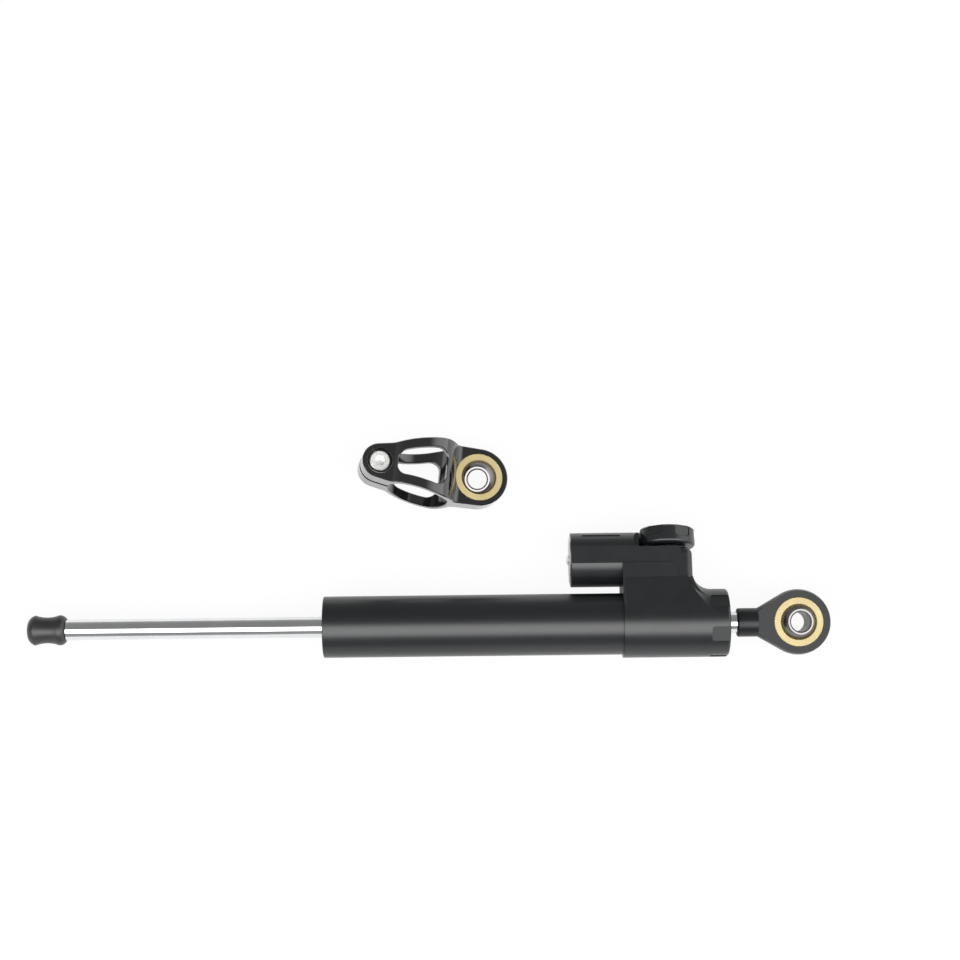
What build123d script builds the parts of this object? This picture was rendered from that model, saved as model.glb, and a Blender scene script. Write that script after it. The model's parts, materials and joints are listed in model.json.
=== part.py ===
from build123d import *
import os
from math import asin, atan, cos, degrees, radians, sin, sqrt, tan

# Through-rod steering damper with a side reservoir and a click adjuster, and the loose
# clamp that holds its tube. Millimetres. +X runs along the rod to the rod end, +Y from the
# tube to the reservoir, +Z up off the bench. The origin is the centre of the rod end's ball.

# Stretches that show along the damper, from the rod end to the far end
rod_end_reach = 24.9
short_rod_show = 3.85
head_length = 43.0
tube_show = 122.4
long_rod_show = 105.7
stop_length = 15.5

# Rod and piston
rod_d = 8.4
rod_thread_d = 6.0
rod_thread_length = 11.5
piston_length = 10.0
piston_ring_width = 3.0
piston_ring_depth = 1.2
piston_rest_gap = 2.0
piston_gap = 0.1
piston_chamfer = 0.5
piston_ring_cut = 0.6
piston_ring_cut_angle = 35.0
rod_clip_thick = 1.0
rod_clip_depth = 0.5
rod_clip_reach = 1.4
rod_clip_mouth = 5.0
rod_hole_gap = 0.4

# Tubes
tube_od = 25.1
tube_wall = 1.3
tube_thread_step = 0.35
tube_socket = 8.0
tube_ring_section = 0.9
annulus_end_gap = 2.6
annulus_gap = 1.0
inner_wall = 1.0
port_d = 2.4
port_count = 4

# Gland at the far end of the tube
clip_inset = 1.0
clip_thick = 1.0
clip_depth = 0.6
clip_width = 2.0
clip_mouth = 1.6
clip_ear_r = 1.5
clip_ear_side = 1.9
clip_ear_in = 0.3
clip_ear_mouth = 0.9
clip_hole_r = 0.6
gland_length = 16.0
nose_length = 3.0
bush_length = 8.0
bush_wall = 1.0
bush_chamfer = 0.25
seal_length = 3.6
seal_wall = 2.3
seal_groove_depth = 1.6
seal_groove_half = 0.55
wiper_length = 3.0
wiper_wall = 2.7
wiper_lip_tip = 1.1
wiper_lip_root = 1.8
wiper_lip_height = 1.0
o_ring_section = 1.6

# Head: the turned barrel, the neck beside it and the valve block on top
head_wall = 1.35
head_edge_round = 1.3
pocket_count = 6
pocket_length = 7.7
pocket_width = 6.5
pocket_depth = 0.8
pocket_corner = 1.2
first_pocket_angle = 30.0
head_clip_width = 1.3
head_clip_mouth = 3.0
chamber_step = 0.25
chamber_length = 5.0
spigot_length = 4.5
neck_pad_half = 11.6
neck_pad_rise = 3.3
neck_top_drop = 3.7
neck_pad_right = 22.3
neck_corner_round = 2.5
neck_shoulder_in = 26.5
neck_left_break = 1.0
block_half = 10.6
block_edge_round = 3.0
block_right_in = 28.7
block_top_round = 3.1
flare_rise = 6.0
flare_foot_in = 36.4
column_in = 19.2
seat_rise = 3.25

# Reservoir
reservoir_gap = 3.15
reservoir_d = 22.4
reservoir_overhang = 20.9
reservoir_wall = 1.9
reservoir_floor_in = 3.0
plug_seat_step = 0.65
plug_flange = 3.2
plug_spigot = 4.0
plug_proud = 0.4
plug_chamfer = 0.5
slot_from_end = 4.6
slot_length = 15.8
slot_width = 1.7
slot_depth = 0.4
slot_angle = 50.0
floating_length = 6.0
floating_gas_gap = 5.0
floating_dish = 2.0
charge_head_d = 5.4
charge_head_height = 1.2
charge_thread_d = 3.0
charge_length = 5.0
charge_hex = 2.0
charge_hex_depth = 0.9

# Valve and adjuster
valve_bore = 11.0
valve_floor_rise = 0.5
valve_seat_d = 7.0
valve_seat_height = 2.3
valve_orifice = 2.0
valve_drill_d = 3.0
passage_d = 3.0
passage_drop = 7.9
annulus_drill_d = 2.4
needle_d = 5.0
needle_length = 7.0
needle_tip_length = 2.6
needle_tip_r = 0.4
needle_root_r = 1.5
needle_thread_floor = 1.2
needle_pitch = 1.0
needle_shut_gap = 0.2
needle_thread_d = 2.4
needle_key_flat = 1.9
spindle_d = 4.4
spindle_collar_d = 7.4
spindle_collar = 1.6
spindle_collar_gap = 0.3
spindle_thread_short = 1.5
spindle_ring_section = 0.9
spindle_ring_up = 1.6
housing_guide = 3.4
housing_flange_d = 16.0
housing_flange = 1.3
housing_chamfer = 0.4
housing_ring_down = 2.6
adjust_turn = 330.0
click_count = 24
click_radius = 6.2
dimple_r = 0.6
dimple_centre_up = 0.35

# Knob
knob_d = 23.35
knob_height = 7.3
knob_lift = 1.7
knob_groove_out = 2.6
knob_groove_low_r = 2.95
knob_groove_high_r = 7.1
knob_groove_web = 6.4
knob_room = 0.4
knob_grip_count = 6
knob_grip_width = 6.7
knob_grip_depth = 0.9
knob_rim = 2.95
knob_grip_corner = 1.4
first_grip_angle = -28.7
knob_edge = 0.6
knob_foot_round = 1.25
knob_grip_edge = 0.25
knob_screw_d = 3.0
knob_screw_head_d = 5.5
knob_screw_head = 2.0
knob_screw_hex = 2.0
knob_screw_hex_depth = 1.2
knob_screw_sunk = 0.6
knob_screw_bite = 5.0
knob_floor = 1.2
knob_screw_gap = 0.2
detent_ball_d = 1.6
detent_bore = 1.8
raceway_depth = 0.15
raceway_width = 1.0
detent_hole_depth = 4.6
spring_wire = 0.3
spring_turns = 5
spring_side_gap = 0.1

# Rod end and the ball bearing that it shares with the clamp
shank_d = 11.74
eye_wall = 3.4
eye_flat_half = 4.0
eye_cone = 30.0
shank_chamfer = 0.4
rod_end_clock = 10.8
rod_ball_lean = 4.6
race_od = 20.0
race_width = 8.0
race_chamfer = 0.15
race_mouth_chamfer = 0.55
ball_d = 15.875
ball_width = 12.0
ball_bore = 8.0
ball_chamfer = 0.55

# End stop on the long rod: radius at each place along it, from the tube's side
stop_face_out = 0.7
stop_ridge_out = 1.95
stop_ridge_at = 2.8
stop_waist_out = 1.08
stop_far_ridge_at = 12.5
stop_tip_r = 3.0
stop_face_bulge_x = 0.36
stop_face_bulge_r = 0.72
stop_tip_bulge_x = 0.68
stop_tip_bulge_r = 0.40
stop_core_d = 6.0
stop_core_length = 10.5

# Clamp, in its own frame: x from the ring to its bearing, y along the ring, z up
clamp_wall = 2.7
clamp_ear_out = 9.3
clamp_ear_wall = 2.2
clamp_blend = 3.0
clamp_band_half = 12.5
clamp_band_at = 9.0
clamp_band_round = 20.0
clamp_lip_out = 2.7
clamp_lip_r = 7.3
clamp_slit = 1.8
clamp_web = 2.5
window_left = -10.65
window_right = 9.7
window_left_half = 4.8
window_right_half = 8.6
window_corner = 4.2
clamp_screw_d = 5.0
clamp_screw_head_d = 8.5
clamp_screw_head = 5.0
clamp_screw_hex = 4.0
clamp_screw_hex_depth = 2.6
clamp_screw_chamfer = 0.4
clamp_screw_sunk = 0.2
clamp_counterbore = 10.4
clamp_edge = 0.35
clamp_sink_edge = 0.2
clamp_x = -154.65
clamp_y = 65.5
clamp_yaw = -6.05
clamp_roll = 11.0
clamp_ball_lean = -9.4
clamp_ball_nod = 15.1

# Clearances
push_gap = 0.03
run_gap = 0.05
clamp_gap = 0.05
edge_break = 0.3
through = 1.0

# Radii and stations worked out from the sizes above
rod_r = rod_d / 2
tube_r = tube_od / 2
tube_bore_r = tube_r - tube_wall
inner_out_r = tube_bore_r - annulus_gap
inner_r = inner_out_r - inner_wall
head_r = tube_r + head_wall
reservoir_y = tube_r + reservoir_gap + reservoir_d / 2
reservoir_bore = reservoir_d - 2 * reservoir_wall
plug_seat_d = reservoir_bore + 2 * plug_seat_step
seat_y = reservoir_y + seat_rise
passage_y = reservoir_y - passage_drop
neck_top_y = reservoir_y - neck_top_drop
neck_pad_low_y = head_r + neck_pad_rise
valve_floor_y = head_r + valve_floor_rise
knob_r = knob_d / 2
shank_x = -rod_end_reach
head_right = shank_x - short_rod_show
head_left = head_right - head_length
tube_left = head_left - tube_show
tube_right = head_left + tube_socket
stop_right = tube_left - long_rod_show
stop_left = stop_right - stop_length
gland_left = tube_left + clip_inset + clip_thick
gland_right = gland_left + gland_length
nose_right = gland_right + nose_length
wiper_left = gland_left
seal_left = wiper_left + wiper_length
bush_left = seal_left + seal_length
tube_ring_end = tube_right + tube_ring_section + 2 * push_gap
spigot_left = tube_ring_end + annulus_end_gap
spigot_right = spigot_left + spigot_length
chamber_right = spigot_right + chamber_length
head_clip_right = head_right - clip_inset
head_wiper_right = head_clip_right - clip_thick
head_seal_right = head_wiper_right - wiper_length
head_bush_right = head_seal_right - seal_length
piston_left = nose_right + piston_rest_gap + rod_clip_thick
piston_right = piston_left + piston_length
column_x = head_left + column_in
flare_foot = head_left + flare_foot_in
block_top_end = head_left + block_right_in - block_top_round
reservoir_left = head_left - reservoir_overhang
reservoir_floor = head_left + reservoir_floor_in
plug_right = reservoir_left + plug_flange
spigot_end = plug_right + plug_spigot
floating_left = spigot_end + floating_gas_gap
knob_low = seat_y + knob_lift
knob_top = knob_low + knob_height
housing_top = seat_y + housing_flange
seat_ring_low = valve_floor_y - valve_seat_height
housing_ring_y = seat_y - housing_ring_down
knob_screw_seat = knob_top - knob_screw_sunk - knob_screw_head
spindle_top = knob_screw_seat - knob_floor
tube_socket_r = tube_r - tube_thread_step + push_gap
clip_groove_r = tube_bore_r + clip_depth
clamp_bore_r = tube_r + clamp_gap
clamp_ring_r = clamp_bore_r + clamp_wall
clamp_reach = clamp_ring_r + clamp_ear_out
clamp_ear_r = race_od / 2 + clamp_ear_wall
clamp_lip_reach = clamp_ring_r + clamp_lip_out
eye_r = race_od / 2 + eye_wall
lip_floor = clamp_slit / 2 + clamp_web
lip_half = lip_floor + clamp_screw_head + clamp_screw_sunk
clamp_z = clamp_ring_r - head_r
needle_lift = needle_pitch * adjust_turn / 720 + needle_shut_gap
needle_tip_y = valve_floor_y - needle_tip_length / 2 + needle_lift
needle_body_y = needle_tip_y + needle_tip_length
spindle_low = needle_body_y + needle_length + needle_lift + spindle_collar_gap
spindle_ring_y = spindle_low + spindle_collar + spindle_ring_up


def bar_x(diameter, left, right, y=0.0):
    """Solid bar along X."""
    bar = Cylinder(diameter / 2, right - left, align=(Align.CENTER, Align.CENTER, Align.MIN))
    return Pos(left, y, 0) * Rot(0, 90, 0) * bar


def pipe_x(outside, inside, left, right, y=0.0):
    """Hollow bar along X."""
    return bar_x(outside, left, right, y) - bar_x(inside, left - through, right + through, y)


def bar_y(diameter, low, high, x=None, z=0.0):
    """Solid bar along Y, on the valve's axis unless x says otherwise."""
    bar = Cylinder(diameter / 2, high - low, align=(Align.CENTER, Align.CENTER, Align.MIN))
    return Pos(column_x if x is None else x, low, z) * Rot(-90, 0, 0) * bar


def pipe_y(outside, inside, low, high):
    """Hollow bar along the valve's axis."""
    return bar_y(outside, low, high) - bar_y(inside, low - through, high + through)


def end_circles(shape, axis, place, radius):
    """The round edges of one radius in the plane at this place along the axis."""
    circles = shape.edges().filter_by(GeomType.CIRCLE)
    return circles.filter_by_position(axis, place - 0.001, place + 0.001).filter_by(
        lambda edge: abs(edge.radius - radius) < 0.001
    )


def broken_x(shape, places, radius, size=edge_break):
    """The shape with the sharp edge of this radius taken off at each place along X."""
    for place in places:
        shape = chamfer(end_circles(shape, Axis.X, place, radius), size)
    return shape


def o_ring(bore_r, centre, section=o_ring_section):
    """Rubber ring that stands in a groove and meets a bore of this radius."""
    return centre * Torus(bore_r - push_gap - section / 2, section / 2)


def groove_x(bore_r, middle, y=0.0):
    """What an outside ring groove takes away from a piece in a bore of this radius."""
    floor_r = bore_r - o_ring_section - 2 * push_gap
    half = o_ring_section / 2 + push_gap
    return pipe_x(2 * bore_r + through, 2 * floor_r, middle - half, middle + half, y)


def face_x(middle, y=0.0):
    """Frame whose own Z runs along X, for a ring round the rod's or the reservoir's axis."""
    return Pos(middle, y, 0) * Rot(0, 90, 0)


def face_y(middle):
    """Frame whose own Z runs along Y, for a ring round the valve's axis."""
    return Pos(column_x, middle, 0) * Rot(-90, 0, 0)


def outer_tube():
    body = bar_x(tube_od, tube_left, head_left)
    body += bar_x(tube_od - 2 * tube_thread_step, head_left, tube_right)
    body -= bar_x(2 * tube_bore_r, tube_left - through, tube_right + through)
    body -= bar_x(2 * clip_groove_r, tube_left + clip_inset, gland_left)
    return broken_x(body, [tube_left], tube_r)


def inner_cylinder():
    body = pipe_x(2 * inner_out_r, 2 * inner_r, gland_right, spigot_right)
    port_x = gland_right + nose_length / 2
    for k in range(port_count):
        hole = Cylinder(port_d / 2, 2 * inner_out_r, align=(Align.CENTER, Align.CENTER, Align.MIN))
        body -= Pos(port_x, 0, 0) * Rot(k * 360 / port_count, 0, 0) * hole
    return body


def end_clip():
    """Sprung ring in the tube's inside groove, with two drilled ears beside its mouth."""
    outside = clip_groove_r - push_gap
    inside = outside - clip_width
    ear_angle = degrees(asin(clip_ear_side / inside))
    ring = Circle(outside) - Circle(inside)
    ring -= Pos(outside - clip_width / 2, 0) * Rectangle(2 * clip_width, clip_mouth)
    for side in (-1, 1):
        ear = Rot(0, 0, side * ear_angle) * Pos(inside - clip_ear_in, 0)
        ring += ear * Circle(clip_ear_r) - Pos(inside, 0) * Rectangle(4 * clip_ear_r, clip_ear_mouth)
    for side in (-1, 1):
        ring -= Rot(0, 0, side * ear_angle) * Pos(inside - clip_ear_in, 0) * Circle(clip_hole_r)
    return Pos(tube_left + clip_inset, 0, 0) * Rot(0, 90, 0) * extrude(ring, clip_thick)


def rod_bush(left, right):
    body = pipe_x(rod_d + 2 * bush_wall, rod_d + 2 * run_gap, left, right)
    return broken_x(body, [left, right], rod_r + bush_wall, bush_chamfer)


def rod_seal(left, right, lip_side):
    """Cup seal: a ring with a v-shaped groove in the face that the oil presses on."""
    outer = rod_r + seal_wall
    body = pipe_x(2 * outer, rod_d + 2 * run_gap, left, right)
    face = right if lip_side > 0 else left
    middle_r = rod_r + seal_wall / 2
    groove = Polygon(
        (-seal_groove_depth, 0),
        (through, seal_groove_half),
        (through, -seal_groove_half),
        align=None,
    )
    groove = Pos(0, middle_r) * groove
    if lip_side < 0:
        groove = mirror(groove, Plane.YZ)
    return body - Pos(face, 0, 0) * revolve(groove, Axis.X)


def rod_wiper(left, right, out_side):
    """Wiper: a ring whose lip stands out round the rod."""
    body = pipe_x(2 * (rod_r + wiper_wall), rod_d + 2 * run_gap, left, right)
    face = right if out_side > 0 else left
    cut = Polygon(
        (through, wiper_lip_tip),
        (through, wiper_wall + through),
        (-wiper_lip_height, wiper_wall + through),
        (-wiper_lip_height, wiper_lip_root),
        align=None,
    )
    if out_side < 0:
        cut = mirror(cut, Plane.YZ)
    return body - Pos(face, 0, 0) * revolve(Pos(0, rod_r) * cut, Axis.X)


def end_gland():
    body = bar_x(2 * (tube_bore_r - push_gap), gland_left, gland_right)
    body += bar_x(2 * (inner_r - push_gap), gland_right, nose_right)
    body -= bar_x(rod_d + 2 * rod_hole_gap, gland_left - through, nose_right + through)
    body -= bar_x(2 * (rod_r + wiper_wall + push_gap), gland_left - through, seal_left)
    body -= bar_x(2 * (rod_r + seal_wall + push_gap), seal_left - 0.001, bush_left)
    body -= bar_x(2 * (rod_r + bush_wall + push_gap), bush_left - 0.001, bush_left + bush_length)
    body -= bar_x(2 * (rod_r + rod_clip_reach + rod_hole_gap), gland_right, nose_right + through)
    body -= groove_x(tube_bore_r, (gland_left + gland_right) / 2)
    for k in range(port_count):
        slot = Box(nose_length + 0.002, port_d, inner_r, align=(Align.MIN, Align.CENTER, Align.MIN))
        body -= Rot(k * 360 / port_count, 0, 0) * Pos(gland_right, 0, 1) * slot
    return body


def end_gland_o_ring():
    return o_ring(tube_bore_r, face_x((gland_left + gland_right) / 2))


def tube_o_ring():
    """Face seal between the tube's end and the floor of its socket in the head."""
    middle = (tube_right + tube_ring_end) / 2
    return o_ring(tube_socket_r, face_x(middle), tube_ring_section)


def head_outside():
    """Barrel, neck, valve block and reservoir shell as one machined piece, before its bores."""
    barrel = bar_x(2 * head_r, head_left, head_right)
    barrel = fillet(end_circles(barrel, Axis.X, head_right, head_r), head_edge_round)
    return barrel + valve_block() + neck() + reservoir_shell()


def flare(left, top_x, top_r):
    """Body turned about the tube's axis, with a hollow sweep that runs out along the barrel."""
    low_r = head_r - push_gap
    reach = flare_foot - top_x
    rise = top_r - low_r
    sweep_r = (reach**2 + rise**2) / (2 * rise)
    half = asin(reach / sweep_r) / 2
    middle = (flare_foot - sweep_r * sin(half), low_r + sweep_r * (1 - cos(half)))
    profile = [
        Line((left, 0), (left, top_r)),
        Line((left, top_r), (top_x, top_r)),
        ThreePointArc((top_x, top_r), middle, (flare_foot, low_r)),
        Line((flare_foot, low_r), (flare_foot, 0)),
        Line((flare_foot, 0), (left, 0)),
    ]
    return revolve(make_face(Curve() + profile), Axis.X)


def valve_block():
    """Flat-sided block under the knob, on a sweep that is turned down to the barrel."""
    right = head_left + block_right_in
    corner_in = block_top_round * (1 - sin(radians(45)))
    edges = [
        Line((head_left, 0), (head_left, seat_y)),
        Line((head_left, seat_y), (right - block_top_round, seat_y)),
        ThreePointArc(
            (right - block_top_round, seat_y),
            (right - corner_in, seat_y - corner_in),
            (right, seat_y - block_top_round),
        ),
        Line((right, seat_y - block_top_round), (right, 0)),
        Line((right, 0), (head_left, 0)),
    ]
    block = extrude(make_face(Curve() + edges), block_half, both=True)
    rim = block.edges().filter_by(
        lambda e: abs(abs(e.center().Z) - block_half) < 0.01
        and e.center().X > right - block_top_round
        and e.center().Y > head_r / 2
    )
    block = fillet(rim, block_edge_round)
    upper = Box(2 * head_length, seat_y, 2 * block_half, align=(Align.CENTER, Align.MIN, Align.CENTER))
    sweep = flare(right - block_edge_round, right, head_r + flare_rise)
    return block + (sweep & Pos(right, 0, 0) * upper)


def neck():
    """Cheeks that run from the barrel's sides up to a flat pad beside the valve block."""
    pad_reach = sqrt(neck_pad_low_y**2 + neck_pad_half**2)
    lean = asin(head_r / pad_reach) - asin(neck_pad_half / pad_reach)
    touch = (head_r * sin(lean), head_r * cos(lean))
    cheek = Polygon(
        (0, 0),
        touch,
        (neck_pad_low_y, neck_pad_half),
        (neck_pad_low_y, -neck_pad_half),
        (touch[0], -touch[1]),
        align=None,
    )
    shoulder = head_left + neck_shoulder_in
    cheeks = extrude(Plane.YZ.offset(head_left) * cheek, shoulder - head_left, dir=(1, 0, 0))
    left_edges = cheeks.edges().filter_by_position(Axis.X, head_left - 0.01, head_left + 0.01)
    cheeks = chamfer(left_edges.filter_by(lambda e: abs(e.center().Z) > neck_pad_half), neck_left_break)
    swept = extrude(Plane.YZ.offset(shoulder) * cheek, flare_foot - shoulder, dir=(1, 0, 0))
    swept &= flare(head_left, shoulder, pad_reach)
    pad = Rectangle(neck_pad_right, neck_top_y, align=Align.MIN)
    pad = fillet(pad.vertices().sort_by_distance((neck_pad_right, neck_top_y, 0))[0], neck_corner_round)
    pad = Pos(head_left, 0, 0) * extrude(pad, neck_pad_half, both=True)
    return cheeks + swept + pad


def reservoir_shell():
    shell = bar_x(reservoir_d, reservoir_left, block_top_end, reservoir_y)
    shell = chamfer(end_circles(shell, Axis.X, reservoir_left, reservoir_d / 2), edge_break)
    flats = Box(4 * reservoir_d, 4 * reservoir_d, 2 * block_half)
    shell &= Pos(reservoir_left, reservoir_y, 0) * flats
    shell -= knob_clearance()
    slot = Pos(0, 0, reservoir_d / 2 - slot_depth) * extrude(SlotOverall(slot_length, slot_width), through)
    slot_place = Pos(reservoir_left + slot_from_end + slot_length / 2, reservoir_y, 0)
    return shell - slot_place * Rot(-slot_angle, 0, 0) * slot


def knob_clearance():
    """Groove milled into the reservoir's end from either side, and a turned recess for the knob."""
    left = column_x - knob_r - knob_groove_out
    right = column_x + knob_r
    foot = left + knob_groove_low_r
    brow = left + knob_groove_high_r
    widest = seat_y + knob_groove_low_r
    top = widest + knob_groove_high_r
    edges = [
        Line((right, seat_y), (foot, seat_y)),
        CenterArc((foot, widest), knob_groove_low_r, 270, -90),
        CenterArc((brow, widest), knob_groove_high_r, 180, -90),
        Line((brow, top), (right, top)),
        Line((right, top), (right, seat_y)),
    ]
    groove = extrude(make_face(Curve() + edges), reservoir_d, both=True)
    web = Box(4 * knob_d, 4 * knob_d, knob_groove_web)
    recess = bar_y(2 * (knob_r + knob_room), seat_y, seat_y + reservoir_d)
    return groove - Pos(column_x, seat_y, 0) * web + recess


def head_pocket():
    """Cutter for one flat-bottomed pocket, open at the barrel's end face."""
    cutter = Box(
        pocket_length + through,
        pocket_width,
        2 * pocket_depth,
        align=(Align.MIN, Align.CENTER, Align.MIN),
    )
    blind_corners = cutter.edges().filter_by(Axis.Z).sort_by(Axis.X)[:2]
    cutter = fillet(blind_corners, pocket_corner)
    return Pos(head_right - pocket_length, 0, head_r - pocket_depth) * cutter


def head_body():
    body = head_outside()
    for k in range(pocket_count):
        body -= Rot(first_pocket_angle + k * 360 / pocket_count, 0, 0) * head_pocket()
    body -= bar_x(2 * tube_socket_r, head_left - through, tube_ring_end)
    body -= bar_x(2 * tube_bore_r, tube_ring_end - 0.001, spigot_left)
    body -= bar_x(2 * (inner_out_r + push_gap), spigot_left - 0.001, spigot_right)
    body -= bar_x(2 * (inner_r - chamber_step), spigot_right - 0.001, chamber_right)
    body -= bar_x(rod_d + 2 * rod_hole_gap, chamber_right - 0.001, head_right + through)
    body -= bar_x(2 * (rod_r + bush_wall + push_gap), head_bush_right - bush_length, head_bush_right)
    body -= bar_x(2 * (rod_r + seal_wall + push_gap), head_bush_right - 0.001, head_seal_right)
    body -= bar_x(2 * (rod_r + wiper_wall + push_gap), head_seal_right - 0.001, head_right + through)
    body -= bar_x(2 * (rod_r + wiper_wall + clip_depth), head_wiper_right, head_clip_right)
    body -= bar_y(valve_bore + 2 * push_gap, valve_floor_y, seat_y + through)
    body -= bar_y(valve_seat_d + 2 * push_gap, seat_ring_low, valve_floor_y + 0.001)
    body -= bar_y(valve_drill_d, inner_r - valve_drill_d, seat_ring_low + 0.001)
    body -= bar_x(reservoir_bore, plug_right - 0.001, reservoir_floor, reservoir_y)
    body -= bar_x(plug_seat_d, reservoir_left - through, plug_right, reservoir_y)
    body -= bar_x(passage_d, reservoir_floor - through, column_x, passage_y)
    drill_x = (tube_ring_end + spigot_left) / 2
    body -= bar_y(annulus_drill_d, tube_bore_r - annulus_drill_d, passage_y, drill_x)
    return body


def head_clip():
    outside = rod_r + wiper_wall + clip_depth - push_gap
    ring = Circle(outside) - Circle(outside - head_clip_width)
    ring -= Pos(outside, 0) * Rectangle(4 * head_clip_width, head_clip_mouth)
    return Pos(head_wiper_right, 0, 0) * Rot(0, 90, 0) * extrude(ring, clip_thick)


def reservoir_plug():
    body = bar_x(plug_seat_d - 2 * push_gap, reservoir_left - plug_proud, plug_right, reservoir_y)
    body = broken_x(body, [reservoir_left - plug_proud], plug_seat_d / 2 - push_gap, plug_chamfer)
    body += bar_x(reservoir_bore - 2 * push_gap, plug_right, spigot_end, reservoir_y)
    body -= groove_x(reservoir_bore / 2, (plug_right + spigot_end) / 2, reservoir_y)
    low = reservoir_left - plug_proud - through
    return body - bar_x(charge_thread_d + 2 * push_gap, low, spigot_end + through, reservoir_y)


def plug_o_ring():
    return o_ring(reservoir_bore / 2, face_x((plug_right + spigot_end) / 2, reservoir_y))


def charge_screw():
    """Domed screw that closes the gas port in the plug."""
    face = reservoir_left - plug_proud
    dome_r = (charge_head_d**2 / 4 + charge_head_height**2) / (2 * charge_head_height)
    head = Pos(0, 0, charge_head_height - dome_r) * Sphere(dome_r)
    head &= Box(2 * dome_r, 2 * dome_r, 2 * dome_r, align=(Align.CENTER, Align.CENTER, Align.MIN))
    socket = RegularPolygon(charge_hex / 2, 6, major_radius=False)
    head -= Pos(0, 0, charge_head_height - charge_hex_depth) * extrude(socket, through)
    shank = Cylinder(charge_thread_d / 2, charge_length, align=(Align.CENTER, Align.CENTER, Align.MAX))
    return Pos(face, reservoir_y, 0) * Rot(0, -90, 0) * (head + shank)


def floating_piston():
    body = bar_x(
        reservoir_bore - 2 * run_gap, floating_left, floating_left + floating_length, reservoir_y
    )
    body -= groove_x(reservoir_bore / 2, floating_left + floating_length / 2, reservoir_y)
    right = floating_left + floating_length
    return body - bar_x(reservoir_bore / 2, right - floating_dish, right + through, reservoir_y)


def floating_piston_o_ring():
    radius = reservoir_bore / 2 - run_gap + push_gap
    return o_ring(radius, face_x(floating_left + floating_length / 2, reservoir_y))


def piston():
    body = bar_x(2 * (inner_r - piston_gap), piston_left, piston_right)
    body -= bar_x(rod_d + 2 * run_gap, piston_left - through, piston_right + through)
    middle = (piston_left + piston_right) / 2
    half = piston_ring_width / 2 + push_gap
    floor_r = inner_r - piston_ring_depth
    body -= pipe_x(2 * inner_r + through, 2 * floor_r, middle - half, middle + half)
    return broken_x(body, [piston_left, piston_right], inner_r - piston_gap, piston_chamfer)


def piston_ring():
    middle = (piston_left + piston_right) / 2
    half = piston_ring_width / 2
    inside_r = inner_r - piston_ring_depth + push_gap
    ring = pipe_x(2 * (inner_r - run_gap), 2 * inside_r, middle - half, middle + half)
    cut = Box(2 * piston_ring_width, piston_ring_cut, inner_r)
    return ring - Pos(middle, 0, -inner_r) * Rot(piston_ring_cut_angle, 0, 0) * cut


def piston_clips():
    """Two open rings in the rod's grooves, one against each face of the piston."""
    ring = Circle(rod_r + rod_clip_reach) - Circle(rod_r - rod_clip_depth + push_gap)
    ring -= Pos(rod_r, 0) * Rectangle(rod_r, rod_clip_mouth)
    clip = Rot(0, 90, 0) * extrude(ring, rod_clip_thick - 2 * push_gap)
    left = Pos(piston_left - rod_clip_thick + push_gap, 0, 0) * clip
    right = Pos(piston_right + push_gap, 0, 0) * clip
    return Compound(children=[left, right])


def piston_rod():
    body = bar_x(rod_d, stop_right, shank_x)
    body = broken_x(body, [stop_right, shank_x], rod_r, edge_break)
    body += bar_x(rod_thread_d, shank_x, shank_x + rod_thread_length - push_gap)
    body += bar_x(stop_core_d, stop_right - stop_core_length, stop_right)
    for face in (piston_left - rod_clip_thick, piston_right):
        groove = pipe_x(rod_d + through, rod_d - 2 * rod_clip_depth, face, face + rod_clip_thick)
        body -= groove
    return body


def end_stop():
    """Rubber spool on the far end of the rod."""
    ridge = rod_r + stop_ridge_out
    face = rod_r + stop_face_out
    far = stop_right - stop_far_ridge_at
    near = stop_right - stop_ridge_at
    bulge_r = face + stop_face_bulge_r * (ridge - face)
    tip_r = ridge - stop_tip_bulge_r * (ridge - stop_tip_r)
    profile = [
        Line((stop_right, 0), (stop_right, face)),
        ThreePointArc(
            (stop_right, face),
            (stop_right - stop_face_bulge_x * stop_ridge_at, bulge_r),
            (near, ridge),
        ),
        ThreePointArc((near, ridge), ((near + far) / 2, rod_r + stop_waist_out), (far, ridge)),
        ThreePointArc(
            (far, ridge),
            (far - stop_tip_bulge_x * (far - stop_left), tip_r),
            (stop_left, stop_tip_r),
        ),
        Line((stop_left, stop_tip_r), (stop_left, 0)),
        Line((stop_left, 0), (stop_right, 0)),
    ]
    body = revolve(make_face(Curve() + profile), Axis.X)
    hole_end = stop_right - stop_core_length - push_gap
    return body - bar_x(stop_core_d + 2 * push_gap, hole_end, stop_right + through)


def eye_blank():
    """Turned blank of the rod end: shank, cone and ball-shaped eye."""
    lean = radians(eye_cone)
    touch_x = -eye_r * sin(lean)
    touch_r = eye_r * cos(lean)
    cone_x = touch_x - (touch_r - shank_d / 2) / tan(lean)
    profile = [
        Line((shank_x, 0), (shank_x, shank_d / 2)),
        Line((shank_x, shank_d / 2), (cone_x, shank_d / 2)),
        Line((cone_x, shank_d / 2), (touch_x, touch_r)),
        ThreePointArc((touch_x, touch_r), (eye_r * sin(radians(45)), eye_r * cos(radians(45))), (eye_r, 0)),
        Line((eye_r, 0), (shank_x, 0)),
    ]
    blank = revolve(make_face(Curve() + profile), Axis.X)
    blank = broken_x(blank, [shank_x], shank_d / 2, shank_chamfer)
    return blank, cone_x


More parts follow.
